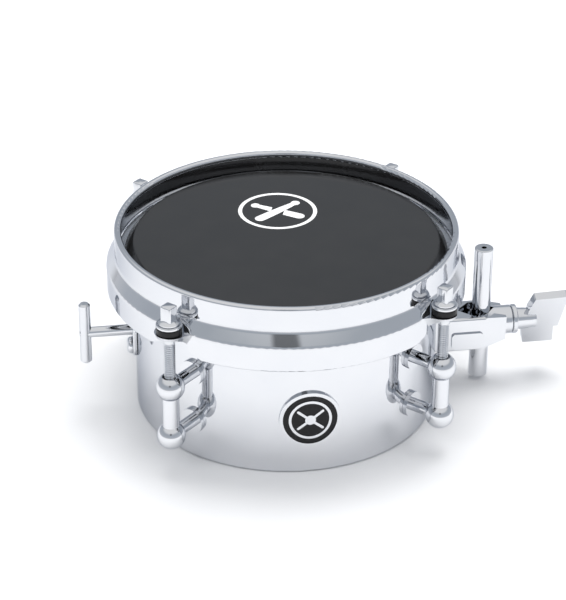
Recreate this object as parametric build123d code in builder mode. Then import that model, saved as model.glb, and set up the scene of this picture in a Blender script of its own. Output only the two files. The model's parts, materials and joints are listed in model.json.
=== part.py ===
"""Six inch timbale drum with an internal snare, a rod clamp and a T-handle.

Frame: millimetres, +Z up, origin on the drum axis at the foot of the shell.
The badge faces -Y, the rod clamp stands on +X and the T-handle on -X.
"""
import os
from math import atan2, cos, degrees, radians, sin, sqrt, tan

from build123d import *

os.makedirs("parts", exist_ok=True)

# ---- driving dimensions (mm, degrees) ----
seat_gap = 0.05             # parts that bear on each other
running_gap = 0.05          # shafts in their bores, radial

# shell: 6 inch by 3.5 inch steel, both ends turned inward
shell_radius = 76.0
shell_height = 88.9
shell_sheet = 1.2
shell_inner = shell_radius - shell_sheet
foot_turn_in = 3.6
edge_turn_in = 3.4
edge_drop = 1.5
edge_round = 1.6
edge_turn = 90 + degrees(atan2(edge_drop, edge_turn_in))
edge_corner_z = shell_height + edge_round * (tan(radians(edge_turn / 2)) - 1)

# head: film folded over the bearing edge into an aluminium flesh hoop
film_sheet = 0.3
film_edge_radius = 75.7
film_foot_radius = 80.2
film_foot = 80.0
flesh_inner = 78.4
flesh_outer = 84.2
flesh_foot = 75.2
flesh_top = 82.4

# counterhoop
hoop_sheet = 1.7
hoop_top = 96.7
hoop_wall_radius = 85.3
hoop_shoulder_top = 84.0
hoop_shoulder_foot = 77.6
hoop_skirt_radius = 89.5
hoop_foot = 65.0
hoop_bend = 4.0
rim_round = 1.6
hem_width = 3.5
hem_height = 3.4
hem_foot_round = 1.2
ear_top = 78.1
ear_width = 15.5
ear_reach = 100.0
ear_flank_round = 8.0
ear_flank_lean = 22.0
notch_half_width = 6.3
notch_flare = 1.7
notch_corner_z = 68.8
notch_foot_reach = 16.0
ear_pocket_radius = 7.0
ear_pocket_wall = 1.3

# tension rods and lugs, on a circle outside the skirt
lug_count = 4
lug_start = 45.0
lug_angles = [lug_start + 360 / lug_count * step for step in range(lug_count)]
rod_circle = 93.3
rod_radius = 2.8
rod_foot = 32.0
rod_head_width = 6.0
rod_head_top = 92.5
rod_head_foot = 84.6
rod_flange_radius = 5.3
washer_radius = 6.3
washer_sheet = 1.5
nylon_radius = 6.2
nylon_sheet = 3.4
lug_heights = (21.0, 48.1)
ball_radius = 7.0
tube_radius = 4.15
lug_bore_foot = 28.0
lug_mouth_radius = 3.9
lug_mouth_depth = 3.0
lug_foot_radius = 6.5
lug_foot_sheet = 2.0
lug_neck_radius = 3.2
lug_screw_radius = 1.8
lug_screw_depth = 9.0
lug_screw_head_radius = 3.4
lug_screw_head_height = 2.2
lug_washer_radius = 4.6
lug_washer_sheet = 0.9

# badge, curved with the shell
badge_angle = -90.0
badge_height = 30.6
badge_radius = 15.0
badge_rim_width = 1.7
badge_sheet = 0.6
badge_rim_rise = 1.5
badge_enamel_sheet = 0.4
badge_emblem_rise = 0.4
emblem_ring_radius = 10.5
emblem_line = 1.3
emblem_stick_reach = 8.2
emblem_stick_angle = 38.0
emblem_hub_radius = 2.6

# rod clamp
mount_rod_x = 101.1
mount_rod_radius = 0.375 * 25.4 / 2
mount_rod_foot = 2.0
mount_rod_top = 75.85
mount_rod_hole_radius = 1.3
mount_rod_hole_depth = 8.0
bracket_foot = 21.7
bracket_top = 40.5
bracket_half_width = 10.0
bracket_shoulder_x = 101.0
nose_x = 117.0
nose_radius = 7.4
clamp_axis_z = 33.2
window_half_width = 7.1
window_inner_x = 88.5
slot_half_width = 8.4
slot_half_height = 3.3
pad_start_x = 84.0
pad_end_x = 100.5
pad_top = 32.4
pad_rise = 1.1
bracket_screw_y = 6.2
bracket_screw_heights = (25.8, 38.5)
bracket_screw_radius = 1.4
bracket_screw_depth = 9.0
backing_sheet = 1.5
bolt_radius = 3.0
eye_outer = 8.0
eye_inner = 5.8
eye_half_height = 2.8
bolt_end_x = 129.5
nose_washer_radius = 7.6
nose_washer_sheet = 2.6
wing_hub_length = 10.0
wing_hub_radius = 4.9
wing_thickness = 4.8
wing_root = 5.4
wing_end = 22.6
wing_reach = 17.0
wing_flare = 2.5
wing_step_at = 5.5
wing_lean = 20.0

# T-handle and its escutcheon
handle_axis_z = 43.05
handle_bar_x = -101.4
handle_bar_radius = 2.9
handle_bar_foot = 26.4
handle_bar_top = 59.7
handle_shaft_radius = 2.7
handle_thread_radius = 2.0
handle_spigot_radius = 1.6
handle_flange_radius = 4.0
handle_flange_sheet = 0.9
escutcheon_length = 20.0
escutcheon_width = 10.0
escutcheon_sheet = 2.0
escutcheon_z = 38.5
dome_screw_z = 34.0
dome_screw_radius = 4.3
dome_screw_rise = 2.6
dome_shank_radius = 1.9

# snare hinge, arm, wires and anchor
hinge_plate_x = -74.3
hinge_plate_sheet = 1.5
hinge_half_width = 7.8
hinge_foot = 27.0
hinge_top = 50.0
hinge_ear_sheet = 1.5
pivot_x = -66.5
pivot_z = 34.0
pivot_pin_radius = 1.5
arm_half_width = 5.4
arm_sheet = 1.5
arm_eye_radius = 2.9
arm_hole_radius = 2.7
ledge_z = 86.0
ledge_end_x = 56.0
captive_nut_size = 8.0
captive_nut_sheet = 3.4
captive_nut_play = 0.85
wire_count = 6
wire_radius = 0.8
wire_lift_arm = 0.35
wire_z = ledge_z + 0.75 + wire_radius
wire_spread_arm = 8.8
wire_spread_anchor = 32.0
wire_end_x = 59.0
strip_sheet = 0.7
strip_length = 9.0
strip_screw_x = ledge_end_x + 6.0
strip_screw_radius = 1.0
arm_screw_ys = (-3.0, 3.0)
anchor_screw_ys = (-14.0, 0.0, 14.0)
anchor_half_width = 20.0
anchor_foot = 70.0
anchor_sheet = 1.4
anchor_screw_angle = 10.0
anchor_screw_z = 77.0
anchor_screw_radius = 1.5


def radial_plane(angle, radius, height):
    """Plane facing outward at an angle round the drum, its local y axis pointing up."""
    outward = Vector(cos(radians(angle)), sin(radians(angle)), 0)
    origin = outward * radius + Vector(0, 0, height)
    return Plane(origin=origin, x_dir=Vector(0, 0, 1).cross(outward), z_dir=outward)


def axis_plane(x, z, y=0.0):
    """Plane across the X axis, facing +X."""
    return Plane(origin=(x, y, z), x_dir=(0, 1, 0), z_dir=(1, 0, 0))


def write(builder, label):
    builder.part.label = label
    export_step(builder.part, f"parts/{label}.step")


lug_planes_at = [(angle, height) for angle in lug_angles for height in lug_heights]
bracket_screw_places = [(side * bracket_screw_y, z) for side in (-1, 1) for z in bracket_screw_heights]
anchor_screw_angles = (-anchor_screw_angle, anchor_screw_angle)

# ---- shell ----
with BuildPart() as shell:
    with BuildSketch(Plane.XZ):
        with BuildLine():
            FilletPolyline(
                (shell_radius - foot_turn_in, 0),
                (shell_radius, 0),
                (shell_radius, edge_corner_z),
                (shell_radius - edge_turn_in, edge_corner_z - edge_drop),
                radius=edge_round,
            )
            offset(amount=shell_sheet, side=Side.LEFT)
        make_face()
    revolve(axis=Axis.Z)
    with BuildSketch(*[radial_plane(a, shell_inner - 2, z) for a, z in lug_planes_at]):
        Circle(lug_screw_radius + 0.2)
    extrude(amount=5, mode=Mode.SUBTRACT)
    with BuildSketch(*[axis_plane(shell_inner - 3, z, y) for y, z in bracket_screw_places]):
        Circle(bracket_screw_radius + 0.2)
    extrude(amount=6, mode=Mode.SUBTRACT)
    with BuildSketch(axis_plane(-shell_radius - 2, handle_axis_z)):
        Circle(handle_shaft_radius + 0.3)
    extrude(amount=6, mode=Mode.SUBTRACT)
    with BuildSketch(axis_plane(-shell_radius - 2, dome_screw_z)):
        Circle(dome_shank_radius + 0.2)
    extrude(amount=6, mode=Mode.SUBTRACT)
    with BuildSketch(*[radial_plane(a, shell_inner - 2, anchor_screw_z) for a in anchor_screw_angles]):
        Circle(anchor_screw_radius + 0.2)
    extrude(amount=5, mode=Mode.SUBTRACT)
write(shell, "shell")

# ---- head and hoop ----
with BuildPart() as drumhead_film:
    with BuildSketch(Plane.XZ):
        with BuildLine():
            FilletPolyline(
                (0, shell_height + seat_gap + film_sheet),
                (film_edge_radius, shell_height + seat_gap + film_sheet),
                (film_foot_radius, flesh_top + 1.5),
                (film_foot_radius, film_foot),
                radius=1.4,
            )
            offset(amount=film_sheet, side=Side.RIGHT)
        make_face()
    revolve(axis=Axis.Z)
write(drumhead_film, "drumhead_film")

with BuildPart() as flesh_hoop:
    with BuildSketch(Plane.XZ):
        with BuildLine():
            Polyline(
                (flesh_inner, flesh_foot),
                (flesh_outer, flesh_foot),
                (flesh_outer, flesh_top),
                (flesh_inner, flesh_top),
                close=True,
            )
        make_face()
        fillet(vertices(), radius=0.9)
        with Locations((film_foot_radius - film_sheet / 2, flesh_top)):
            Rectangle(film_sheet + 2 * seat_gap, 2 * (flesh_top - film_foot + 0.3), mode=Mode.SUBTRACT)
    revolve(axis=Axis.Z)
write(flesh_hoop, "flesh_hoop")

# the pockets fill the space between the wall and the outer face of the shoulder
with BuildPart() as ear_pocket_blanks:
    with BuildSketch(Plane.XZ):
        with BuildLine():
            FilletPolyline(
                (hoop_wall_radius, hoop_shoulder_top + hoop_bend),
                (hoop_wall_radius, hoop_shoulder_top),
                (hoop_skirt_radius, hoop_shoulder_foot),
                (hoop_skirt_radius, ear_top - hoop_sheet),
                radius=hoop_bend * 0.4,
            )
            Polyline(
                (hoop_skirt_radius, ear_top - hoop_sheet),
                (hoop_wall_radius - hoop_sheet, ear_top - hoop_sheet),
                (hoop_wall_radius - hoop_sheet, hoop_shoulder_top + hoop_bend),
                (hoop_wall_radius, hoop_shoulder_top + hoop_bend),
            )
        make_face()
    revolve(axis=Axis.Z)
    with BuildSketch(Plane.XY.offset(ear_top - hoop_sheet)):
        with PolarLocations(rod_circle, lug_count, start_angle=lug_start):
            Circle(ear_pocket_radius + ear_pocket_wall)
    extrude(amount=hoop_shoulder_top - ear_top + hoop_sheet, mode=Mode.INTERSECT)

# the flanks lean back into the skirt, so the ear looks drawn out of it
ear_round = ear_width / 2
ear_root_radius = hoop_skirt_radius - 0.7
with BuildPart() as ear_blanks:
    for inset, mode in ((0, Mode.ADD), (hoop_sheet, Mode.SUBTRACT)):
        with BuildSketch(Plane.XY.offset(ear_top - inset)):
            Circle(ear_root_radius - inset)
            with PolarLocations(ear_reach - ear_round, lug_count, start_angle=lug_start):
                Circle(ear_round - inset)
            fillet(vertices(), radius=ear_flank_round + inset)
        extrude(amount=hoop_foot - ear_top, taper=ear_flank_lean, mode=mode)
    Cylinder(ear_root_radius - 0.8, 2 * shell_height, mode=Mode.SUBTRACT)

with BuildPart() as counterhoop:
    with BuildSketch(Plane.XZ):
        with BuildLine():
            FilletPolyline(
                (hoop_wall_radius, hoop_top),
                (hoop_wall_radius, hoop_shoulder_top),
                (hoop_skirt_radius, hoop_shoulder_foot),
                (hoop_skirt_radius, hoop_foot),
                radius=hoop_bend,
            )
            offset(amount=hoop_sheet, side=Side.RIGHT)
        make_face()
        fillet(vertices().group_by(Axis.Y)[0], radius=0.6)
        # the top edge is folded inwards into a rounded hem
        with Locations((hoop_wall_radius, hoop_top)):
            Rectangle(hem_width, hem_height, align=(Align.MAX, Align.MAX))
        fillet(vertices().group_by(Axis.Y)[-1], radius=rim_round)
        hem_corner = vertices().filter_by(lambda v: v.X < hoop_wall_radius - hem_width + 0.1)
        fillet(hem_corner.group_by(Axis.Y)[0], radius=hem_foot_round)
    revolve(axis=Axis.Z)
    # ears: a pocket pressed into the shoulder, its floor running out over the skirt
    add(ear_pocket_blanks.part)
    add(ear_blanks.part)
    with BuildSketch(Plane.XY.offset(ear_top)):
        with PolarLocations(rod_circle, lug_count, start_angle=lug_start):
            Circle(ear_pocket_radius)
    extrude(amount=hoop_top, mode=Mode.SUBTRACT)
    # the skirt is cut away under each ear, with rounded corners
    notch_top = ear_top - hoop_sheet
    with BuildSketch(*[radial_plane(a, hoop_skirt_radius - 4, 0) for a in lug_angles]):
        with BuildLine():
            Polyline(
                (-notch_half_width, notch_top),
                (notch_half_width, notch_top),
                (notch_half_width + notch_flare, notch_corner_z),
                (notch_foot_reach, hoop_foot),
                (notch_foot_reach, hoop_foot - 2),
                (-notch_foot_reach, hoop_foot - 2),
                (-notch_foot_reach, hoop_foot),
                (-notch_half_width - notch_flare, notch_corner_z),
                close=True,
            )
        make_face()
        notch_corners = vertices().filter_by(lambda v: abs(v.Z - notch_corner_z) < 0.01)
        fillet(notch_corners, radius=4.0)
    extrude(amount=16, mode=Mode.SUBTRACT)
    with BuildSketch(Plane.XY.offset(ear_top - 2 * hoop_sheet)):
        with PolarLocations(rod_circle, lug_count, start_angle=lug_start):
            Circle(rod_radius + 0.35)
    extrude(amount=3 * hoop_sheet, mode=Mode.SUBTRACT)
write(counterhoop, "counterhoop")

with BuildPart() as nylon_washers:
    with BuildSketch(Plane.XY.offset(ear_top + seat_gap)):
        with PolarLocations(rod_circle, lug_count, start_angle=lug_start):
            Circle(nylon_radius)
            Circle(rod_radius + 0.3, mode=Mode.SUBTRACT)
    extrude(amount=nylon_sheet - 2 * seat_gap)
    rims = nylon_washers.edges().filter_by(GeomType.CIRCLE).filter_by(lambda e: e.radius > rod_radius + 1)
    chamfer(rims, length=0.4)
write(nylon_washers, "nylon_washers")

washer_foot = ear_top + nylon_sheet
with BuildPart() as steel_washers:
    with BuildSketch(Plane.XY.offset(washer_foot)):
        with PolarLocations(rod_circle, lug_count, start_angle=lug_start):
            Circle(washer_radius)
            Circle(rod_radius + 0.3, mode=Mode.SUBTRACT)
    extrude(amount=washer_sheet)
    rims = steel_washers.edges().filter_by(GeomType.CIRCLE).filter_by(lambda e: e.radius > rod_radius + 1)
    fillet(rims, radius=0.5)
write(steel_washers, "steel_washers")

# ---- tension rods: square heads on a flared flange ----
rod_seat = washer_foot + washer_sheet + seat_gap
for number, angle in enumerate(lug_angles, start=1):
    rod_x = rod_circle * cos(radians(angle))
    rod_y = rod_circle * sin(radians(angle))
    rod_plane = Plane(origin=(rod_x, rod_y, 0), x_dir=(cos(radians(angle)), sin(radians(angle)), 0))
    with BuildPart() as tension_rod:
        with BuildSketch(rod_plane.offset(rod_foot)):
            Circle(rod_radius)
        extrude(amount=rod_seat - rod_foot)
        chamfer(tension_rod.edges().group_by(Axis.Z)[0], length=0.7)
        with BuildSketch(rod_plane.offset(rod_seat)):
            Circle(rod_flange_radius)
        extrude(amount=0.9)
        with BuildSketch(rod_plane.offset(rod_seat + 0.9)):
            Circle(rod_flange_radius - 0.5)
        with BuildSketch(rod_plane.offset(rod_head_foot + 1.0)):
            Circle(rod_head_width / 2 + 0.5)
        loft()
        with BuildSketch(rod_plane.offset(rod_head_foot)):
            RectangleRounded(rod_head_width, rod_head_width, 0.9)
        extrude(amount=rod_head_top - rod_head_foot)
        chamfer(tension_rod.edges().group_by(Axis.Z)[-1], length=0.6)
    write(tension_rod, f"tension_rod_{number}")

# ---- tube lugs: two balls on a tube, each on a post with a round foot ----
for number, angle in enumerate(lug_angles, start=1):
    lug_x = rod_circle * cos(radians(angle))
    lug_y = rod_circle * sin(radians(angle))
    lug_low, lug_high = lug_heights
    lug_plane = Plane(origin=(lug_x, lug_y, 0))
    with BuildPart() as tube_lug:
        with BuildSketch(lug_plane.offset(lug_low)):
            Circle(tube_radius)
        extrude(amount=lug_high - lug_low)
        with Locations((lug_x, lug_y, lug_low), (lug_x, lug_y, lug_high)):
            Sphere(ball_radius)
        with BuildSketch(*[radial_plane(angle, shell_radius - 1, z) for z in lug_heights]):
            Circle(lug_neck_radius)
        extrude(amount=rod_circle - shell_radius - 2)
        with BuildSketch(*[radial_plane(angle, shell_radius - 1, z) for z in lug_heights]):
            Circle(lug_foot_radius)
        extrude(amount=lug_foot_sheet + 1)
        Cylinder(shell_radius + seat_gap, 2 * shell_height, mode=Mode.SUBTRACT)
        with BuildSketch(lug_plane.offset(lug_bore_foot)):
            Circle(rod_radius + running_gap)
        extrude(amount=shell_height, mode=Mode.SUBTRACT)
        with BuildSketch(lug_plane.offset(lug_high + ball_radius - lug_mouth_depth)):
            Circle(lug_mouth_radius)
        extrude(amount=ball_radius, mode=Mode.SUBTRACT)
        with BuildSketch(*[radial_plane(angle, shell_radius - 1, z) for z in lug_heights]):
            Circle(lug_screw_radius + running_gap)
        extrude(amount=lug_screw_depth, mode=Mode.SUBTRACT)
    write(tube_lug, f"tube_lug_{number}")

lug_washer_face = sqrt(shell_inner**2 - lug_washer_radius**2) - seat_gap
with BuildPart() as lug_screw_washers:
    with BuildSketch(*[radial_plane(a, lug_washer_face - lug_washer_sheet, z) for a, z in lug_planes_at]):
        Circle(lug_washer_radius)
        Circle(lug_screw_radius + 0.2, mode=Mode.SUBTRACT)
    extrude(amount=lug_washer_sheet)
write(lug_screw_washers, "lug_screw_washers")

lug_screw_seat = lug_washer_face - lug_washer_sheet - seat_gap
lug_screw_face = lug_screw_seat - lug_screw_head_height
with BuildPart() as lug_screws:
    with BuildSketch(*[radial_plane(a, lug_screw_face, z) for a, z in lug_planes_at]):
        Circle(lug_screw_head_radius)
        RegularPolygon(1.3, 6, mode=Mode.SUBTRACT)
    extrude(amount=lug_screw_head_height)
    with BuildSketch(*[radial_plane(a, lug_screw_seat - 0.8, z) for a, z in lug_planes_at]):
        Circle(lug_screw_radius)
    extrude(amount=shell_radius + lug_screw_depth - 2 - lug_screw_seat + 0.8)
write(lug_screws, "lug_screws")

# ---- badge: a dished plate, black enamel and a raised emblem ----
badge_plane = radial_plane(badge_angle, shell_radius - 3, badge_height)
badge_back = shell_radius + seat_gap
badge_floor = badge_back + badge_sheet
badge_face = badge_floor + seat_gap + badge_enamel_sheet


def badge_layer(outline, inner, outer):
    """Slab of an outline, curved like the drum between two radii."""
    block = extrude(badge_plane * outline, amount=8)
    return (block & Cylinder(outer, 2 * shell_height)) - Cylinder(inner, 2 * shell_height)


plate_blank = badge_layer(Circle(badge_radius), badge_back, badge_back + badge_rim_rise)
plate_well = badge_layer(Circle(badge_radius - badge_rim_width), badge_floor, shell_radius + 4)
with BuildPart() as badge_plate:
    add(plate_blank)
    add(plate_well, mode=Mode.SUBTRACT)
write(badge_plate, "badge_plate")

enamel_radius = badge_radius - badge_rim_width - seat_gap
enamel_layer = badge_layer(Circle(enamel_radius), badge_floor + seat_gap, badge_face)
with BuildPart() as badge_enamel:
    add(enamel_layer)
write(badge_enamel, "badge_enamel")

with BuildSketch() as emblem_outline:
    Circle(emblem_ring_radius)
    Circle(emblem_ring_radius - emblem_line, mode=Mode.SUBTRACT)
    for angle in (emblem_stick_angle, -emblem_stick_angle):
        SlotOverall(2 * emblem_stick_reach, emblem_line, rotation=angle)
    Circle(emblem_hub_radius)
emblem_layer = badge_layer(emblem_outline.sketch, badge_face + seat_gap, badge_face + badge_emblem_rise)
with BuildPart() as badge_emblem:
    add(emblem_layer)
write(badge_emblem, "badge_emblem")

# ---- rod clamp: a casting with a V window for the rod and a slot for the eyebolt ----
bracket_height = bracket_top - bracket_foot
eye_x = mount_rod_x - mount_rod_radius - seat_gap + eye_inner
with BuildPart() as clamp_bracket:
    with BuildSketch(Plane.XY.offset(bracket_foot)):
        with BuildLine():
            Polyline(
                (shell_radius - 2, -bracket_half_width),
                (bracket_shoulder_x, -bracket_half_width),
                (nose_x - 4, -nose_radius),
                (nose_x - 4, nose_radius),
                (bracket_shoulder_x, bracket_half_width),
                (shell_radius - 2, bracket_half_width),
                close=True,
            )
        make_face()
    extrude(amount=bracket_height)
    with BuildSketch(Plane.XZ.offset(-2 * bracket_half_width)):
        with BuildLine():
            Polyline(
                (shell_radius - 2, bracket_foot),
                (bracket_shoulder_x - 4, bracket_foot),
                (nose_x - 4, clamp_axis_z - nose_radius),
                (nose_x - 4, clamp_axis_z + nose_radius - 2),
                (bracket_shoulder_x - 1, bracket_top),
                (shell_radius - 2, bracket_top),
                close=True,
            )
        make_face()
    extrude(amount=4 * bracket_half_width, mode=Mode.INTERSECT)
    fillet(clamp_bracket.edges().filter_by(Axis.X), radius=1.4)
    with BuildSketch(axis_plane(bracket_shoulder_x, clamp_axis_z)):
        Circle(nose_radius)
    extrude(amount=nose_x - bracket_shoulder_x)
    fillet(clamp_bracket.faces().sort_by(Axis.X)[-1].edges(), radius=0.8)
    pad_length = pad_end_x - pad_start_x
    pad_height = pad_top - bracket_foot - 1.5
    with BuildSketch(Plane.XZ.offset(-bracket_half_width - pad_rise)):
        with Locations((pad_start_x + pad_length / 2, pad_top - pad_height / 2)):
            RectangleRounded(pad_length, pad_height, 2)
    extrude(amount=2 * (bracket_half_width + pad_rise))
    Cylinder(shell_radius + seat_gap, 2 * shell_height, mode=Mode.SUBTRACT)
    # window: a straight-sided hole with a right-angled V at each end
    window_outer_x = mount_rod_x + sqrt(2) * (mount_rod_radius + seat_gap)
    with BuildSketch(Plane.XY.offset(bracket_foot - 1)):
        with BuildLine():
            Polyline(
                (window_inner_x, 0),
                (window_inner_x + window_half_width, -window_half_width),
                (window_outer_x - window_half_width, -window_half_width),
                (window_outer_x, 0),
                (window_outer_x - window_half_width, window_half_width),
                (window_inner_x + window_half_width, window_half_width),
                close=True,
            )
        make_face()
    extrude(amount=bracket_height + 2, mode=Mode.SUBTRACT)
    # slot for the eye, open toward the shell and round at its far end
    with BuildSketch(Plane.XY.offset(clamp_axis_z - slot_half_height)):
        with Locations(((shell_radius - 4 + eye_x) / 2, 0)):
            Rectangle(eye_x - shell_radius + 4, 2 * slot_half_width)
        with Locations((eye_x, 0)):
            Circle(slot_half_width)
    extrude(amount=2 * slot_half_height, mode=Mode.SUBTRACT)
    with BuildSketch(axis_plane(eye_x, clamp_axis_z)):
        Circle(bolt_radius + 0.3)
    extrude(amount=nose_x - eye_x + 1, mode=Mode.SUBTRACT)
    with BuildSketch(*[axis_plane(shell_radius - 3, z, y) for y, z in bracket_screw_places]):
        Circle(bracket_screw_radius + running_gap)
    extrude(amount=bracket_screw_depth + 3, mode=Mode.SUBTRACT)
write(clamp_bracket, "clamp_bracket")

backing_half_width = bracket_half_width + 1.0
backing_face = sqrt(shell_inner**2 - backing_half_width**2) - seat_gap
with BuildPart() as backing_plate:
    with BuildSketch(axis_plane(backing_face - backing_sheet, clamp_axis_z - 1)):
        RectangleRounded(2 * backing_half_width, bracket_height + 4, 2)
    extrude(amount=backing_sheet)
    with BuildSketch(*[axis_plane(backing_face - 2 * backing_sheet, z, y) for y, z in bracket_screw_places]):
        Circle(bracket_screw_radius + 0.2)
    extrude(amount=4 * backing_sheet, mode=Mode.SUBTRACT)
write(backing_plate, "backing_plate")

bracket_screw_seat = backing_face - backing_sheet - seat_gap
with BuildPart() as bracket_screws:
    with BuildSketch(*[axis_plane(bracket_screw_seat - 2.2, z, y) for y, z in bracket_screw_places]):
        Circle(2 * bracket_screw_radius)
        RegularPolygon(1.1, 6, mode=Mode.SUBTRACT)
    extrude(amount=2.2)
    with BuildSketch(*[axis_plane(bracket_screw_seat - 0.8, z, y) for y, z in bracket_screw_places]):
        Circle(bracket_screw_radius)
    extrude(amount=shell_radius + bracket_screw_depth - 2 - bracket_screw_seat)
write(bracket_screws, "bracket_screws")

with BuildPart() as mount_rod:
    with BuildSketch(Plane(origin=(mount_rod_x, 0, mount_rod_foot))):
        Circle(mount_rod_radius)
    extrude(amount=mount_rod_top - mount_rod_foot)
    chamfer(mount_rod.edges().group_by(Axis.Z)[0], length=0.6)
    fillet(mount_rod.edges().group_by(Axis.Z)[-1], radius=0.6)
    with BuildSketch(Plane(origin=(mount_rod_x, 0, mount_rod_top - mount_rod_hole_depth))):
        Circle(mount_rod_hole_radius)
    extrude(amount=mount_rod_hole_depth, mode=Mode.SUBTRACT)
write(mount_rod, "mount_rod")

# the eye bears on the inner side of the rod and pulls it into the V
with BuildPart() as eyebolt:
    with BuildSketch(Plane(origin=(eye_x, 0, clamp_axis_z - eye_half_height))):
        Circle(eye_outer)
    extrude(amount=2 * eye_half_height)
    with BuildSketch(axis_plane(eye_x + eye_inner + 0.6, clamp_axis_z)):
        Circle(bolt_radius)
    extrude(amount=bolt_end_x - eye_x - eye_inner - 0.6)
    chamfer(eyebolt.edges().group_by(Axis.X)[-1], length=0.7)
    with BuildSketch(Plane(origin=(eye_x, 0, clamp_axis_z - 2 * eye_half_height))):
        Circle(eye_inner)
    extrude(amount=4 * eye_half_height, mode=Mode.SUBTRACT)
write(eyebolt, "eyebolt")

with BuildPart() as nose_washer:
    with BuildSketch(axis_plane(nose_x + seat_gap, clamp_axis_z)):
        Circle(nose_washer_radius)
        Circle(bolt_radius + 0.2, mode=Mode.SUBTRACT)
    extrude(amount=nose_washer_sheet)
    rims = nose_washer.edges().filter_by(GeomType.CIRCLE).filter_by(lambda e: e.radius > bolt_radius + 1)
    fillet(rims, radius=0.7)
write(nose_washer, "nose_washer")

# wing nut: a conical hub and two wings in one leaning plane, stepped where they meet
hub_start_x = nose_x + nose_washer_sheet + 3 * seat_gap
with BuildPart() as wing_nut:
    with BuildSketch(axis_plane(hub_start_x, clamp_axis_z)):
        Circle(wing_hub_radius + 0.8)
    with BuildSketch(axis_plane(hub_start_x + wing_hub_length, clamp_axis_z)):
        Circle(wing_hub_radius)
    loft()
    wing_face = Vector(0, -cos(radians(wing_lean)), -sin(radians(wing_lean)))
    wing_origin = Vector(hub_start_x, 0, clamp_axis_z) - wing_face * (wing_thickness / 2)
    wing_plane = Plane(origin=wing_origin, x_dir=(1, 0, 0), z_dir=wing_face)
    with BuildSketch(wing_plane):
        with BuildLine():
            Polyline(
                (wing_root, -wing_step_at),
                (wing_root, 0.45 * wing_reach),
                (wing_root + wing_flare, wing_reach - 0.8),
                (wing_end + wing_flare, wing_reach),
                (wing_end, -wing_step_at),
                close=True,
            )
        make_face()
        fillet(vertices().group_by(Axis.Y)[1:], radius=0.9)
        with BuildLine():
            Polyline(
                (wing_root - wing_flare, 1 - wing_step_at),
                (wing_root, -wing_reach),
                (wing_end - wing_flare / 2, -wing_reach),
                (wing_end - wing_flare, 1 - wing_step_at),
                close=True,
            )
        make_face()
        fillet(vertices().group_by(Axis.Y)[0], radius=0.9)
    extrude(amount=wing_thickness)
    with BuildSketch(axis_plane(hub_start_x - 1, clamp_axis_z)):
        Circle(bolt_radius + running_gap)
    extrude(amount=bolt_end_x - hub_start_x + 1.3, mode=Mode.SUBTRACT)
write(wing_nut, "wing_nut")

# ---- T-handle: a bar pinned across a shaft whose flange sits behind the escutcheon ----
escutcheon_face = -shell_radius - seat_gap - escutcheon_sheet
with BuildPart() as handle_escutcheon:
    with BuildSketch(axis_plane(escutcheon_face, escutcheon_z)):
        SlotOverall(escutcheon_length, escutcheon_width, rotation=90)
    extrude(amount=escutcheon_sheet)
    fillet(handle_escutcheon.faces().sort_by(Axis.X)[0].edges(), radius=0.8)
    with BuildSketch(axis_plane(escutcheon_face - 1, handle_axis_z)):
        Circle(handle_shaft_radius + running_gap)
    extrude(amount=2 * escutcheon_sheet, mode=Mode.SUBTRACT)
    with BuildSketch(axis_plane(-shell_radius - seat_gap - handle_flange_sheet - 0.25, handle_axis_z)):
        Circle(handle_flange_radius + 0.15)
    extrude(amount=escutcheon_sheet, mode=Mode.SUBTRACT)
    with BuildSketch(axis_plane(escutcheon_face - 1, dome_screw_z)):
        Circle(dome_shank_radius + 0.1)
    extrude(amount=2 * escutcheon_sheet, mode=Mode.SUBTRACT)
write(handle_escutcheon, "handle_escutcheon")

# the shaft runs to just past the captive nut
shaft_end_x = pivot_x + captive_nut_sheet + 4.0
flange_x = -shell_radius - seat_gap - handle_flange_sheet - 0.15
with BuildPart() as t_handle_shaft:
    with BuildSketch(axis_plane(handle_bar_x, handle_axis_z)):
        Circle(handle_shaft_radius)
    extrude(amount=hinge_plate_x - handle_bar_x)
    with BuildSketch(axis_plane(flange_x, handle_axis_z)):
        Circle(handle_flange_radius)
    extrude(amount=handle_flange_sheet)
    with BuildSketch(axis_plane(hinge_plate_x, handle_axis_z)):
        Circle(handle_thread_radius)
    extrude(amount=shaft_end_x - hinge_plate_x)
    chamfer(t_handle_shaft.edges().group_by(Axis.X)[-1], length=0.5)
    with BuildSketch(Plane(origin=(handle_bar_x, 0, handle_bar_foot))):
        Circle(handle_bar_radius + seat_gap)
    extrude(amount=handle_bar_top - handle_bar_foot, mode=Mode.SUBTRACT)
    with BuildSketch(axis_plane(handle_bar_x - handle_bar_radius, handle_axis_z)):
        Circle(handle_spigot_radius)
    extrude(amount=2 * handle_bar_radius + 0.5)
write(t_handle_shaft, "t_handle_shaft")

with BuildPart() as t_handle_bar:
    with BuildSketch(Plane(origin=(handle_bar_x, 0, handle_bar_foot))):
        Circle(handle_bar_radius)
    extrude(amount=handle_bar_top - handle_bar_foot)
    chamfer(t_handle_bar.edges().filter_by(GeomType.CIRCLE), length=0.9)
    with BuildSketch(axis_plane(handle_bar_x - 2 * handle_bar_radius, handle_axis_z)):
        Circle(handle_spigot_radius + 0.02)
    extrude(amount=4 * handle_bar_radius, mode=Mode.SUBTRACT)
write(t_handle_bar, "t_handle_bar")

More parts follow.
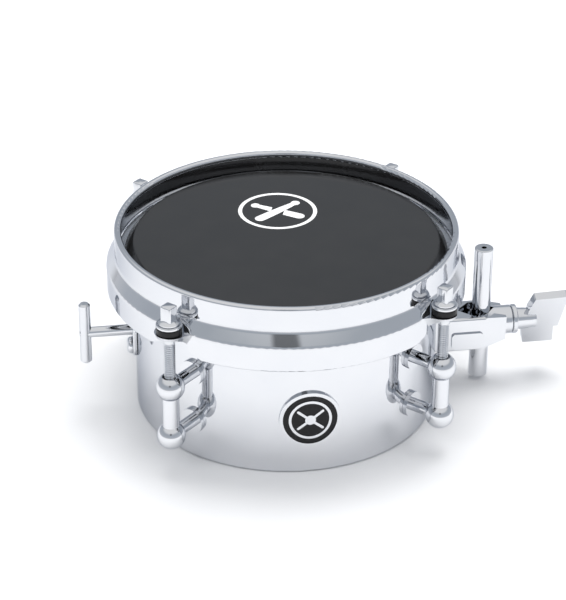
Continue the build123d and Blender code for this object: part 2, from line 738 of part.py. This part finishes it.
dome_nut_x = hinge_plate_x + hinge_plate_sheet + seat_gap
dome_nut_sheet = 2.2
with BuildPart() as dome_screw:
    with BuildSketch(axis_plane(escutcheon_face - seat_gap, dome_screw_z)):
        Circle(dome_screw_radius)
    extrude(amount=-dome_screw_rise)
    fillet(dome_screw.faces().sort_by(Axis.X)[0].edges(), radius=dome_screw_rise - 0.5)
    with BuildSketch(axis_plane(escutcheon_face - dome_screw_rise, dome_screw_z)):
        RegularPolygon(1.4, 6)
    extrude(amount=1.6, mode=Mode.SUBTRACT)
    with BuildSketch(axis_plane(escutcheon_face - 0.6, dome_screw_z)):
        Circle(dome_shank_radius)
    extrude(amount=dome_nut_x + dome_nut_sheet + 0.4 - escutcheon_face + 0.6)
write(dome_screw, "dome_screw")

with BuildPart() as dome_nut:
    with BuildSketch(axis_plane(dome_nut_x, dome_screw_z)):
        RegularPolygon(3.6, 6)
        Circle(dome_shank_radius + 0.02, mode=Mode.SUBTRACT)
    extrude(amount=dome_nut_sheet)
write(dome_nut, "dome_nut")

# ---- snare: hinge bracket, arm, wires and anchor ----
hinge_mid_z = (hinge_foot + hinge_top) / 2
hinge_height = hinge_top - hinge_foot
with BuildPart() as hinge_bracket:
    with BuildSketch(axis_plane(hinge_plate_x, hinge_mid_z)):
        RectangleRounded(2 * hinge_half_width, hinge_height, 1.5)
    extrude(amount=hinge_plate_sheet)
    for side in (-1, 1):
        ear_centre_y = side * (hinge_half_width - hinge_ear_sheet / 2)
        with BuildSketch(Plane.XZ.offset(-ear_centre_y - hinge_ear_sheet / 2)):
            with BuildLine():
                Polyline(
                    (hinge_plate_x + 0.5, pivot_z - 5),
                    (pivot_x, pivot_z - 4),
                    (pivot_x, pivot_z + 4),
                    (hinge_plate_x + 0.5, pivot_z + 9),
                    close=True,
                )
            make_face()
            with Locations((pivot_x, pivot_z)):
                Circle(4)
                Circle(pivot_pin_radius + 0.02, mode=Mode.SUBTRACT)
        extrude(amount=hinge_ear_sheet)
    with BuildSketch(axis_plane(hinge_plate_x - 1, handle_axis_z)):
        Circle(handle_shaft_radius + 0.3)
    extrude(amount=4, mode=Mode.SUBTRACT)
    with BuildSketch(axis_plane(hinge_plate_x - 1, dome_screw_z)):
        Circle(dome_shank_radius + 0.1)
    extrude(amount=4, mode=Mode.SUBTRACT)
write(hinge_bracket, "hinge_bracket")

pin_reach = hinge_half_width + 1.0
with BuildPart() as hinge_pin:
    with BuildSketch(Plane.XZ.offset(-pin_reach)):
        with Locations((pivot_x, pivot_z)):
            Circle(pivot_pin_radius)
    extrude(amount=2 * pin_reach)
    for head_start in (-pin_reach - 0.6, hinge_half_width + seat_gap):
        with BuildSketch(Plane.XZ.offset(head_start)):
            with Locations((pivot_x, pivot_z)):
                Circle(pivot_pin_radius + 0.9)
        extrude(amount=pin_reach + 0.6 - hinge_half_width - seat_gap)
write(hinge_pin, "hinge_pin")

ledge_foot = ledge_z - arm_sheet
with BuildPart() as snare_arm:
    with BuildSketch(Plane.XZ.offset(-arm_half_width)):
        with BuildLine():
            FilletPolyline(
                (pivot_x - arm_sheet / 2, pivot_z),
                (pivot_x - arm_sheet / 2, ledge_z),
                (-ledge_end_x, ledge_z),
                radius=2.4,
            )
            offset(amount=arm_sheet, side=Side.RIGHT)
        make_face()
        with Locations((pivot_x, pivot_z)):
            Circle(arm_eye_radius)
            Circle(pivot_pin_radius + running_gap, mode=Mode.SUBTRACT)
    extrude(amount=2 * arm_half_width)
    with BuildSketch(axis_plane(pivot_x - 3, handle_axis_z)):
        Circle(arm_hole_radius)
    extrude(amount=6, mode=Mode.SUBTRACT)
    with BuildSketch(Plane.XY.offset(ledge_foot - 1)):
        with Locations(*[(-strip_screw_x, y) for y in arm_screw_ys]):
            Circle(strip_screw_radius + 0.1)
    extrude(amount=4, mode=Mode.SUBTRACT)
write(snare_arm, "snare_arm")

with BuildPart() as captive_nut:
    with BuildSketch(axis_plane(pivot_x + arm_sheet / 2 + seat_gap, handle_axis_z)):
        RectangleRounded(captive_nut_size, captive_nut_size, 0.8)
        Circle(handle_thread_radius + captive_nut_play, mode=Mode.SUBTRACT)
    extrude(amount=captive_nut_sheet)
write(captive_nut, "captive_nut")

anchor_face = shell_inner - 0.1
with BuildPart() as snare_anchor:
    with BuildSketch(Plane.XY.offset(anchor_foot)):
        Circle(anchor_face)
        Circle(anchor_face - anchor_sheet, mode=Mode.SUBTRACT)
    extrude(amount=ledge_z - anchor_foot)
    with BuildSketch(Plane.XY.offset(ledge_foot)):
        Circle(anchor_face - 0.4)
    extrude(amount=arm_sheet)
    with BuildSketch(Plane.XY.offset(anchor_foot - 1)):
        with Locations((ledge_end_x + 20, 0)):
            RectangleRounded(40, 2 * anchor_half_width, 2)
    extrude(amount=ledge_z - anchor_foot + 2, mode=Mode.INTERSECT)
    with BuildSketch(*[radial_plane(a, shell_inner - 5, anchor_screw_z) for a in anchor_screw_angles]):
        Circle(anchor_screw_radius + running_gap)
    extrude(amount=8, mode=Mode.SUBTRACT)
    with BuildSketch(Plane.XY.offset(ledge_foot - 1)):
        with Locations(*[(strip_screw_x, y) for y in anchor_screw_ys]):
            Circle(strip_screw_radius + 0.1)
    extrude(amount=4, mode=Mode.SUBTRACT)
write(snare_anchor, "snare_anchor")

anchor_screw_seat = shell_radius + seat_gap
with BuildPart() as anchor_screws:
    with BuildSketch(*[radial_plane(a, anchor_screw_seat, anchor_screw_z) for a in anchor_screw_angles]):
        Circle(2.8)
    extrude(amount=1.6)
    with BuildSketch(*[radial_plane(a, shell_inner - 4, anchor_screw_z) for a in anchor_screw_angles]):
        Circle(anchor_screw_radius)
    extrude(amount=6)
write(anchor_screws, "anchor_screws")

# both ends: a strip that the wire ends are soldered to, screwed down on its ledge
for end, side, width, screw_ys in (
    ("arm", -1, 2 * arm_half_width, arm_screw_ys),
    ("anchor", 1, 2 * anchor_half_width - 2, anchor_screw_ys),
):
    screw_places = [(side * strip_screw_x, y) for y in screw_ys]
    with BuildPart() as strip:
        with BuildSketch(Plane.XY.offset(ledge_z + seat_gap)):
            with Locations((side * (ledge_end_x + strip_length / 2 - 1.0), 0)):
                RectangleRounded(strip_length, width, 0.6)
            with Locations(*screw_places):
                Circle(strip_screw_radius + 0.1, mode=Mode.SUBTRACT)
        extrude(amount=strip_sheet)
    write(strip, f"{end}_strip")
    # the heads sit under the ledge and the tips end flush with the strip
    with BuildPart() as strip_screws:
        with BuildSketch(Plane.XY.offset(ledge_foot - seat_gap)):
            with Locations(*screw_places):
                Circle(1.8 * strip_screw_radius)
        extrude(amount=-0.8)
        with BuildSketch(Plane.XY.offset(ledge_foot - seat_gap - 0.8)):
            with Locations(*screw_places):
                Circle(strip_screw_radius)
        extrude(amount=0.8 + arm_sheet + strip_sheet + 2 * seat_gap)
    write(strip_screws, f"{end}_strip_screws")

with BuildPart() as snare_wires:
    for step in range(wire_count):
        fan = step / (wire_count - 1) - 0.5
        start = Vector(-wire_end_x + 1.5, fan * wire_spread_arm, wire_z + wire_lift_arm)
        end = Vector(wire_end_x - 1.5, fan * wire_spread_anchor, wire_z)
        with BuildSketch(Plane(origin=start, z_dir=end - start)):
            Circle(wire_radius)
        extrude(amount=(end - start).length)
write(snare_wires, "snare_wires")
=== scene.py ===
import json
import math

import bmesh
import bpy
from mathutils import Matrix, Vector


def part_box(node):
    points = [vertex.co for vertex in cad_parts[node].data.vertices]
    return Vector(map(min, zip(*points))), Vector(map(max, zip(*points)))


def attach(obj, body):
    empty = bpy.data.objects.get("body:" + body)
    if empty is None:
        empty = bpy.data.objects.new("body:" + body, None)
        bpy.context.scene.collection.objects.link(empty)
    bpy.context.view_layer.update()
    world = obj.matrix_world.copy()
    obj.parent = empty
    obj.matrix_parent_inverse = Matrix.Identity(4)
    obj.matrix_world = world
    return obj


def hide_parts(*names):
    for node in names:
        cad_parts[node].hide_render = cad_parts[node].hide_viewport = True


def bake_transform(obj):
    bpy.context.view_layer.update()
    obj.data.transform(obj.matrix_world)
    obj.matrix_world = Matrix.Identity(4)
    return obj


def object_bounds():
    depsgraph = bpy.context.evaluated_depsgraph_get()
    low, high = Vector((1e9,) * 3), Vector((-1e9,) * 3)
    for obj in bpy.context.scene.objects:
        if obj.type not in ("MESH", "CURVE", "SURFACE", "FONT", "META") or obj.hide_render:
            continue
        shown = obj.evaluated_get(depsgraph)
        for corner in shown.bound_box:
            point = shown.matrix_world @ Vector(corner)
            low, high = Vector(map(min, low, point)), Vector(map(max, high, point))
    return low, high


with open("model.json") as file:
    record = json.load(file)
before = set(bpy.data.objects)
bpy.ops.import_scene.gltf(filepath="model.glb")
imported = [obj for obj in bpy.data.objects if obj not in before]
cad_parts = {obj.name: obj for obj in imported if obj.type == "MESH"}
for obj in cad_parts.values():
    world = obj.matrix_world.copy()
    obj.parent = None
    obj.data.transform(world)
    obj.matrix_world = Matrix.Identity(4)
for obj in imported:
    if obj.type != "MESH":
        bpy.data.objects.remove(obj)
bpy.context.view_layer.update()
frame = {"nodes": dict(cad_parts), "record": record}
nodes = frame["nodes"]
MM = 0.001


# ---- small mesh helpers ----
def add_piece(name, vertices, faces, body, material, smooth=False):
    """A new visible piece. It rides on a body, or on none."""
    mesh = bpy.data.meshes.new(name)
    mesh.from_pydata(vertices, [], faces)
    build = bmesh.new()
    build.from_mesh(mesh)
    bmesh.ops.recalc_face_normals(build, faces=build.faces)
    build.to_mesh(mesh)
    build.free()
    mesh.materials.append(material)
    for polygon in mesh.polygons:
        polygon.use_smooth = smooth
    piece = bpy.data.objects.new(name, mesh)
    bpy.context.scene.collection.objects.link(piece)
    if body:
        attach(piece, body)
    return piece


def loft_rings(rings, closed=False):
    """Skin over rings of equal size: capped at both ends, or closed on itself."""
    count = len(rings[0])
    vertices = [point for ring in rings for point in ring]
    faces = []
    spans = len(rings) if closed else len(rings) - 1
    for row in range(spans):
        low = row * count
        high = (row + 1) % len(rings) * count
        for i in range(count):
            j = (i + 1) % count
            faces.append((low + i, low + j, high + j, high + i))
    if not closed:
        faces.append(tuple(reversed(range(count))))
        faces.append(tuple(range((len(rings) - 1) * count, len(rings) * count)))
    return vertices, faces


def join_parts(parts):
    """One vertex and face list from several."""
    vertices, faces = [], []
    for part_vertices, part_faces in parts:
        start = len(vertices)
        vertices += part_vertices
        faces += [tuple(start + i for i in face) for face in part_faces]
    return vertices, faces


def flat_part(outline, low, high):
    """Closed slab over an outline, between two heights."""
    rings = [[(x, y, z) for x, y in outline] for z in (low, high)]
    return loft_rings(rings)


def flat_ring(centre, outer, inner, low, high, count=160):
    """Closed flat ring, between two heights."""
    rings = []
    for radius, z in ((outer, low), (outer, high), (inner, high), (inner, low)):
        turns = [2 * math.pi * i / count for i in range(count)]
        rings.append([(centre.x + radius * math.cos(t), centre.y + radius * math.sin(t), z) for t in turns])
    return loft_rings(rings, closed=True)


# ---- materials ----
def material(name, color, metallic=0.0, roughness=0.4):
    made = bpy.data.materials.new(name)
    made.use_nodes = True
    shader = made.node_tree.nodes["Principled BSDF"]
    shader.inputs["Base Color"].default_value = (*color, 1)
    shader.inputs["Metallic"].default_value = metallic
    shader.inputs["Roughness"].default_value = roughness
    return made, made.node_tree, shader


def noise(tree, scale, detail=3.0, stretch=(1, 1, 1)):
    """Noise in the object's own coordinates, which are metres."""
    place = tree.nodes.new("ShaderNodeTexCoord")
    mapping = tree.nodes.new("ShaderNodeMapping")
    mapping.inputs["Scale"].default_value = stretch
    texture = tree.nodes.new("ShaderNodeTexNoise")
    texture.inputs["Scale"].default_value = scale
    texture.inputs["Detail"].default_value = detail
    tree.links.new(place.outputs["Object"], mapping.inputs["Vector"])
    tree.links.new(mapping.outputs["Vector"], texture.inputs["Vector"])
    return texture.outputs["Fac"]


def span(tree, value, low, high, start=0.35, end=0.65):
    """Maps a factor's middle stretch onto a low to high span."""
    node = tree.nodes.new("ShaderNodeMapRange")
    node.inputs["From Min"].default_value = start
    node.inputs["From Max"].default_value = end
    node.inputs["To Min"].default_value = low
    node.inputs["To Max"].default_value = high
    tree.links.new(value, node.inputs["Value"])
    return node.outputs["Result"]


def tint(tree, value, first, second):
    """Mixes two colours by a factor."""
    node = tree.nodes.new("ShaderNodeMix")
    node.data_type = "RGBA"
    node.inputs["A"].default_value = (*first, 1)
    node.inputs["B"].default_value = (*second, 1)
    tree.links.new(value, node.inputs["Factor"])
    return node.outputs["Result"]


def bump(tree, shader, height, distance, strength=1.0):
    node = tree.nodes.new("ShaderNodeBump")
    node.inputs["Strength"].default_value = strength
    node.inputs["Distance"].default_value = distance
    tree.links.new(height, node.inputs["Height"])
    tree.links.new(node.outputs["Normal"], shader.inputs["Normal"])


def chrome_material():
    """Polished plate, a little hazy in patches and very slightly uneven."""
    made, tree, shader = material("chrome_plate", (0.74, 0.75, 0.775), metallic=1.0)
    haze = noise(tree, 45, detail=4)
    tree.links.new(tint(tree, haze, (0.70, 0.715, 0.745), (0.77, 0.775, 0.79)), shader.inputs["Base Color"])
    tree.links.new(span(tree, haze, 0.025, 0.065), shader.inputs["Roughness"])
    shader.inputs["Specular Tint"].default_value = (0.6, 0.62, 0.66, 1)
    bump(tree, shader, noise(tree, 24, detail=2), 0.00004, 0.6)
    return made


def satin_metal(name, first, second, low, high, scale):
    made, tree, shader = material(name, first, metallic=1.0)
    grain = noise(tree, scale, detail=5, stretch=(1, 1, 6))
    tree.links.new(tint(tree, grain, first, second), shader.inputs["Base Color"])
    tree.links.new(span(tree, grain, low, high), shader.inputs["Roughness"])
    bump(tree, shader, grain, 0.00002, 0.4)
    return made


def film_material():
    """Black polyester film: glossy, with a faint mottle and a fine pebbled skin."""
    made, tree, shader = material("black_film", (0.013, 0.013, 0.0135), roughness=0.2)
    mottle = noise(tree, 60, detail=6)
    color = tint(tree, mottle, (0.011, 0.011, 0.0115), (0.016, 0.0155, 0.015))
    tree.links.new(color, shader.inputs["Base Color"])
    tree.links.new(span(tree, mottle, 0.1, 0.18), shader.inputs["Roughness"])
    bump(tree, shader, noise(tree, 1500, detail=2), 0.000006, 0.35)
    return made


def plastic(name, first, second, low, high, scale, grain_depth, shine=0.5):
    made, tree, shader = material(name, first)
    shader.inputs["Specular IOR Level"].default_value = shine
    grain = noise(tree, scale, detail=5)
    tree.links.new(tint(tree, grain, first, second), shader.inputs["Base Color"])
    tree.links.new(span(tree, grain, low, high), shader.inputs["Roughness"])
    bump(tree, shader, grain, grain_depth, 0.5)
    return made


chrome = chrome_material()
film_black = film_material()
deep_black = (0.006, 0.006, 0.007)
nylon_black = plastic("black_nylon", deep_black, (0.012, 0.012, 0.013), 0.3, 0.45, 900, 0.00002, 0.3)
enamel_sheen = (0.01, 0.01, 0.011)
enamel_black = plastic("badge_enamel_black", deep_black, enamel_sheen, 0.08, 0.14, 300, 0.000004, 0.25)
aluminium = satin_metal("bare_aluminium", (0.78, 0.79, 0.8), (0.85, 0.855, 0.86), 0.25, 0.38, 500)
zinc = satin_metal("zinc_plate", (0.62, 0.63, 0.65), (0.72, 0.72, 0.72), 0.2, 0.34, 380)
wire_steel = satin_metal("snare_wire_steel", (0.66, 0.66, 0.67), (0.76, 0.76, 0.76), 0.15, 0.25, 900)
print_white = plastic("print_white", (0.84, 0.84, 0.84), (0.9, 0.9, 0.89), 0.35, 0.5, 700, 0.00001)

by_slot = {
    "chrome": chrome,
    "black_film": film_black,
    "black_nylon": nylon_black,
    "black_enamel": enamel_black,
    "bare_aluminium": aluminium,
    "zinc_steel": zinc,
    "snare_wire": wire_steel,
}

# ---- camera: the photograph's angle ----
azimuth, elevation, roll = math.radians(-9.0), math.radians(29.324), math.radians(0.402)
target = Vector((-1.48, 0.234, 53.53)) * MM
distance = 1.1485
back = Vector((
    math.sin(azimuth) * math.cos(elevation),
    -math.cos(azimuth) * math.cos(elevation),
    math.sin(elevation),
))
camera_data = bpy.data.cameras.new("camera")
camera_data.lens = 136.89
camera_data.sensor_width = 36
camera_data.clip_start = 0.01
camera = bpy.data.objects.new("camera", camera_data)
camera.location = target + back * distance
camera.rotation_euler = (back.to_track_quat("Z", "Y").to_matrix() @ Matrix.Rotation(roll, 3, "Z")).to_euler()
bpy.context.scene.collection.objects.link(camera)
bpy.context.scene.camera = camera

# ---- CAD nodes: their own material, soft edges and smooth shading ----
soft_edge = 0.25 * MM
for row in frame["record"]["subparts"]:
    node = nodes[row["node"]]
    node.data.materials.clear()
    node.data.materials.append(by_slot[row["material_slot"]])
    for polygon in node.data.polygons:
        polygon.use_smooth = True
    weld = node.modifiers.new("weld", "WELD")
    weld.merge_threshold = 0.005 * MM
    bevel = node.modifiers.new("bevel", "BEVEL")
    bevel.width = soft_edge
    bevel.segments = 3
    bevel.limit_method = "ANGLE"
    bevel.angle_limit = math.radians(35)
    even = node.modifiers.new("even", "WEIGHTED_NORMAL")
    even.mode = "FACE_AREA"
    even.weight = 50
    even.keep_sharp = False

# ---- head print: a ring round two crossed sticks ----
film_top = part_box("drumhead_film")[1].z
print_low = film_top + 0.01 * MM
print_high = print_low + 0.03 * MM
print_centre = Vector((0, 29)) * MM
print_radius = 20.0 * MM
print_line = 2.0 * MM
stick_reach = 15.0 * MM
stick_butt = 2.7 * MM
stick_neck = 1.4 * MM
stick_bead = 2.3 * MM
stick_lean = math.radians(36)
stick_gap = 0.9 * MM
arc_steps = 12


def stick_width(x):
    """Half width of the stick at a place along it, from the round butt to the round bead."""
    bead_x = stick_reach - stick_bead
    if x > bead_x - stick_bead * 0.85:
        return math.sqrt(max(stick_bead**2 - (x - bead_x)**2, 0.0))
    butt_x = stick_butt - stick_reach
    if x < butt_x:
        return math.sqrt(max(stick_butt**2 - (x - butt_x)**2, 0.0))
    taper = (x - butt_x) / (bead_x - butt_x)
    return stick_butt + (stick_neck - stick_butt) * taper**2


def stick_outline(start, end, lean, cut_slope=0.0):
    """Outline of the stick between two places along it, its cut ends sloped like the stick over it."""
    places = []
    for step in range(4 * arc_steps + 1):
        share = 0.5 - 0.5 * math.cos(math.pi * step / (4 * arc_steps))
        places.append(start + (end - start) * share)
    upper = [(x, stick_width(x)) for x in places]
    lower = [(x, -stick_width(x)) for x in reversed(places)]
    points = []
    for x, y in lower + upper:
        at_cut = min(abs(x - start), abs(x - end)) < 1e-9 and abs(y) > 1e-9
        shifted = x + cut_slope * y if at_cut else x
        turned = Vector((shifted, y)) @ Matrix.Rotation(-lean, 2)
        points.append((print_centre.x + turned.x, print_centre.y + turned.y))
    kept = [p for p, q in zip(points, points[1:] + points[:1]) if math.dist(p, q) > 1e-7]
    return kept


crossing = 2 * stick_lean
cut = (stick_width(0.0) + stick_gap) / math.sin(crossing)
under_slope = -1 / math.tan(crossing)
outlines = [
    stick_outline(-stick_reach, stick_reach, stick_lean),
    stick_outline(-stick_reach, -cut, math.pi - stick_lean, under_slope),
    stick_outline(cut, stick_reach, math.pi - stick_lean, under_slope),
]
print_parts = [flat_part(outline, print_low, print_high) for outline in outlines]
print_parts.append(flat_ring(print_centre, print_radius, print_radius - print_line, print_low, print_high))
head_print = add_piece("head_print", *join_parts(print_parts), "hoop", print_white)

# ---- tension rods with cut threads, a flared flange and a square head ----
thread_pitch = 25.4 / 24 * MM
thread_depth = 0.34 * MM
rod_columns = 40
rows_per_pitch = 7
thread_run = 42 * MM
rod_core = 2.8 * MM
foot_chamfer = 0.8 * MM
run_in = 0.6 * MM
head_side = 3.0 * MM
head_corner = 0.9 * MM
flange_round = 0.2 * MM
flange_sheet = 0.9 * MM
flange_top_inset = 0.25 * MM
flare_below_rim = 11.0 * MM
flare_steps = 8


def square_ring(half, corner):
    """Radii of a rounded square, one for each column."""
    radii = []
    for i in range(rod_columns):
        turn = 2 * math.pi * i / rod_columns
        across = abs(math.cos(turn))
        up = abs(math.sin(turn))
        inner = half - corner
        if half * min(across, up) / max(across, up) < inner:
            radii.append(half / max(across, up))
        else:
            along = inner * (across + up)
            radii.append(along + math.sqrt(along**2 - 2 * inner**2 + corner**2))
    return radii


def threaded_rod(number):
    """The mesh rod that replaces one CAD rod: threads from the foot up, then flange and head."""
    node_name = f"tension_rod_{number}"
    low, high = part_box(node_name)
    axis = (low + high) / 2
    foot, top = low.z, high.z
    flange = (high.x - low.x) / 2
    flange_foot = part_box("steel_washers")[1].z + 0.05 * MM
    turned_by = math.atan2(axis.y, axis.x)
    rings = []

    def ring(z, radii):
        points = []
        for i in range(rod_columns):
            turn = 2 * math.pi * i / rod_columns + turned_by
            points.append((axis.x + radii[i] * math.cos(turn), axis.y + radii[i] * math.sin(turn), z))
        rings.append(points)

    rows = int(thread_run / thread_pitch * rows_per_pitch)
    ring(foot, [rod_core - foot_chamfer] * rod_columns)
    for row in range(1, rows + 1):
        z = foot + thread_run * row / rows
        fade = min(1.0, (rows - row) / (2 * rows_per_pitch))
        lead = min(1.0, row / rows_per_pitch)
        radii = []
        for i in range(rod_columns):
            phase = (z / thread_pitch - i / rod_columns) % 1
            groove = 1 - abs(2 * phase - 1)
            radii.append(rod_core - run_in * (1 - lead) - thread_depth * groove * fade)
        ring(z, radii)
    ring(flange_foot, [rod_core] * rod_columns)
    ring(flange_foot, [flange - flange_round] * rod_columns)
    ring(flange_foot + flange_round, [flange] * rod_columns)
    ring(flange_foot + flange_sheet - flange_round, [flange] * rod_columns)
    ring(flange_foot + flange_sheet, [flange - flange_top_inset] * rod_columns)
    # a flare narrows from the flange to the square head
    square = square_ring(head_side, head_corner)
    flare_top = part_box("counterhoop")[1].z - flare_below_rim
    flare_foot = flange_foot + flange_sheet
    for step in range(1, flare_steps + 1):
        share = step / flare_steps
        z = flare_foot + (flare_top - flare_foot) * share
        cone = flange - flange_top_inset - (flange - head_side - 0.35 * MM) * (1 - (1 - share)**2)
        ring(z, [max(cone, flat) for flat in square])
    for z, inset in ((top - 0.6 * MM, 0.0), (top - 0.25 * MM, 0.2), (top, 0.62)):
        ring(z, [radius - inset * MM for radius in square])
    piece = add_piece(f"rod_threaded_{number}", *loft_rings(rings), f"rod_{number}", chrome, smooth=True)
    piece.data.set_sharp_from_angle(angle=math.radians(40))
    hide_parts(node_name)


for number in range(1, 5):
    threaded_rod(number)

# ---- snare wires: steel coils soldered to the strips at both ends ----
coil_count = 6
coil_wire = 0.17 * MM
coil_pitch = 0.95 * MM
coil_steps = 11
wire_low, wire_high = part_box("snare_wires")
coil_outer = 0.75 * MM
coil_radius = coil_outer - coil_wire
coil_z = wire_low.z + coil_outer
arm_spread = 8.8 * MM
wire_sides = 5
anchor_spread = wire_high.y - wire_low.y - 2 * coil_outer


def coil(start, end):
    """A helix of round wire from start to end."""
    along = (end - start).normalized()
    across = Vector((0, 0, 1)).cross(along)
    up = along.cross(across)
    turns = int((end - start).length / coil_pitch)
    rings = []
    for step in range(turns * coil_steps + 1):
        turn = 2 * math.pi * step / coil_steps
        outward = across * math.cos(turn) + up * math.sin(turn)
        centre = start.lerp(end, step / (turns * coil_steps)) + outward * coil_radius
        points = []
        for i in range(wire_sides):
            place = 2 * math.pi * i / wire_sides
            points.append(tuple(centre + (outward * math.cos(place) + along * math.sin(place)) * coil_wire))
        rings.append(points)
    return loft_rings(rings)


coils = []
for step in range(coil_count):
    fan = step / (coil_count - 1) - 0.5
    start = Vector((wire_low.x + coil_wire, fan * arm_spread, coil_z))
    end = Vector((wire_high.x - coil_wire, fan * anchor_spread, coil_z))
    coils.append(coil(start, end))
snare_coils = add_piece("snare_coils", *join_parts(coils), None, wire_steel, smooth=True)
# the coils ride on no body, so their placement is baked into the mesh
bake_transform(snare_coils)
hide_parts("snare_wires")

# ---- floor, world and lights ----
floor_mesh = bpy.data.meshes.new("floor")
floor_build = bmesh.new()
bmesh.ops.create_grid(floor_build, x_segments=2, y_segments=2, size=6)
floor_build.to_mesh(floor_mesh)
floor_build.free()
floor = bpy.data.objects.new("floor", floor_mesh)
floor.location.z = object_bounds()[0][2] - 0.0002
bpy.context.scene.collection.objects.link(floor)
floor_mesh.materials.append(material("floor_pale", (0.9, 0.9, 0.905), roughness=0.9)[0])

world = bpy.data.worlds.new("studio")
bpy.context.scene.world = world
world.use_nodes = True
sky = world.node_tree
background = sky.nodes["Background"]
background.inputs["Strength"].default_value = 0.85
direction = sky.nodes.new("ShaderNodeTexCoord")
split = sky.nodes.new("ShaderNodeSeparateXYZ")
bands = sky.nodes.new("ShaderNodeValToRGB")
sky.links.new(direction.outputs["Generated"], split.inputs["Vector"])
sky.links.new(split.outputs["Z"], bands.inputs["Fac"])

# a dark patch where the camera stands, as polished metal would show it
card_way = Vector((math.sin(azimuth), -math.cos(azimuth), math.tan(math.radians(33)))).normalized()
facing = sky.nodes.new("ShaderNodeVectorMath")
facing.operation = "DOT_PRODUCT"
facing.inputs[1].default_value = card_way
sky.links.new(direction.outputs["Generated"], facing.inputs[0])
card_edge, card_core = math.cos(math.radians(9)), math.cos(math.radians(6))
card_share = span(sky, facing.outputs["Value"], 0.0, 0.7, card_edge, card_core)
carded = sky.nodes.new("ShaderNodeMix")
carded.data_type = "RGBA"
carded.inputs["B"].default_value = (0.01, 0.012, 0.016, 1)
sky.links.new(card_share, carded.inputs["Factor"])
sky.links.new(bands.outputs["Color"], carded.inputs["A"])
sky.links.new(carded.outputs["Result"], background.inputs["Color"])
# (height of the direction, colour)
stops = (
    (0.0, (0.80, 0.82, 0.86)),
    (0.12, (0.60, 0.64, 0.70)),
    (0.30, (0.52, 0.56, 0.62)),
    (0.50, (0.52, 0.56, 0.61)),
    (0.68, (0.95, 0.96, 0.98)),
    (1.0, (1.0, 1.0, 1.0)),
)
while len(bands.color_ramp.elements) < len(stops):
    bands.color_ramp.elements.new(0.5)
for element, (place, color) in zip(bands.color_ramp.elements, stops):
    element.position = place
    element.color = (*color, 1)


def softbox(name, location, size, power, color=(1, 1, 1)):
    data = bpy.data.lights.new(name, "AREA")
    data.shape = "RECTANGLE"
    data.size, data.size_y = size
    data.energy = power
    data.color = color
    lamp = bpy.data.objects.new(name, data)
    lamp.location = location
    aim = Vector(location) - Vector((0, 0, 0.05))
    lamp.rotation_euler = aim.to_track_quat("Z", "Y").to_euler()
    lamp.visible_glossy = False
    bpy.context.scene.collection.objects.link(lamp)


softbox("key_left", (-1.1, -0.9, 1.2), (0.9, 0.9), 6)
softbox("fill_right", (1.3, -0.8, 0.9), (0.8, 0.9), 4)
softbox("overhead", (0.15, 0.35, 1.6), (1.2, 1.0), 18)

bpy.context.scene.view_settings.view_transform = "Standard"
